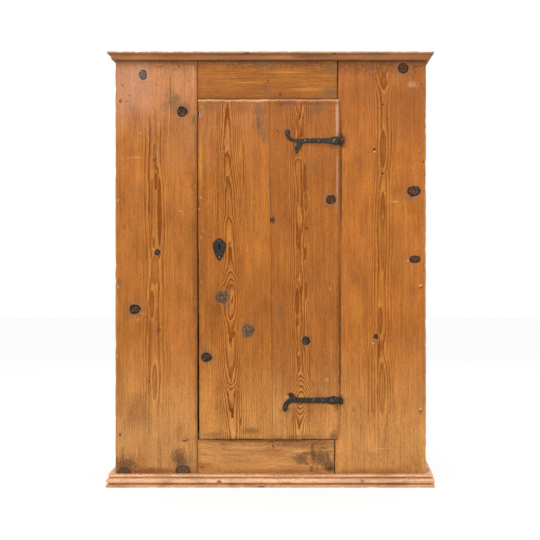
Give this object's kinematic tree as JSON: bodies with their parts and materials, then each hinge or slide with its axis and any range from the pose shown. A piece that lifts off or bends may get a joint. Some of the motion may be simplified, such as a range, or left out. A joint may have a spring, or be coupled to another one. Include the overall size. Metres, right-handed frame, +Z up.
{
  "type": "single-door cupboard",
  "caption": "Tall free-standing pine cupboard with a narrow ledged door on forged strap hinges, shelves, a box lock, a thin cornice and a low moulded base.",
  "frame": {"origin": "on the ground, under the middle of the cupboard's bounding box", "axes": "+Z up, +X right as seen from the front, -Y out of the front"},
  "size_m": [1.288, 0.5, 1.708],
  "materials": {
    "front_pine": "old waxed pine",
    "door_pine": "old waxed pine, redder",
    "cornice_pine": "worn, grimy waxed pine",
    "pale_pine": "pale waxed pine",
    "inside_pine": "dry, unwaxed pine",
    "forged_iron": "forged, aged black",
    "nail_iron": "forged, worn heads",
    "lock_iron": "old dull sheet iron"
  },
  "bodies": {
    "carcass": {"left_side_front_board": "front_pine", "left_side_rear_board": "front_pine", "right_side_front_board": "front_pine", "right_side_rear_board": "front_pine", "roof_front_board": "front_pine", "roof_rear_board": "front_pine", "floor_front_board": "inside_pine", "floor_rear_board": "inside_pine", "back_board_1": "inside_pine", "back_board_2": "inside_pine", "back_board_3": "inside_pine", "back_board_4": "inside_pine", "back_board_5": "inside_pine", "left_stile": "front_pine", "right_stile": "front_pine", "header_board": "front_pine", "bottom_rail": "front_pine", "head_stop": "inside_pine", "lower_shelf": "inside_pine", "middle_shelf": "inside_pine", "upper_shelf": "inside_pine", "lower_left_cleat": "inside_pine", "lower_right_cleat": "inside_pine", "middle_left_cleat": "inside_pine", "middle_right_cleat": "inside_pine", "upper_left_cleat": "inside_pine", "upper_right_cleat": "inside_pine", "cornice_front": "cornice_pine", "cornice_left": "cornice_pine", "cornice_right": "cornice_pine", "base_moulding_front": "pale_pine", "base_moulding_left": "pale_pine", "base_moulding_right": "pale_pine", "frame_nails": "nail_iron", "upper_pintle": "forged_iron", "lower_pintle": "forged_iron", "lock_keep": "lock_iron", "keep_nails": "nail_iron"},
    "door": {"door_left_plank": "door_pine", "door_right_plank": "door_pine", "door_upper_ledge": "inside_pine", "door_lower_ledge": "inside_pine", "ledge_nails": "nail_iron", "upper_hinge_strap": "forged_iron", "lower_hinge_strap": "forged_iron", "upper_hinge_nails": "nail_iron", "lower_hinge_nails": "nail_iron", "escutcheon": "forged_iron", "escutcheon_nails": "nail_iron", "lock_case": "lock_iron", "lock_cover": "lock_iron", "lock_ward": "lock_iron", "lock_spring": "lock_iron", "lock_nails": "nail_iron"},
    "bolt": {"lock_bolt": "lock_iron"}
  },
  "joints": [
    {"name": "door_swing", "type": "hinge", "parent": "carcass", "child": "door", "pos_m": [0.27854, -0.2325, 0.339], "axis": [0, 0, 1], "range_deg": [0, 170]},
    {"name": "bolt_slide", "type": "slide", "parent": "door", "child": "bolt", "axis": [-1, 0, 0], "range_m": [0, 0.016]}
  ]
}
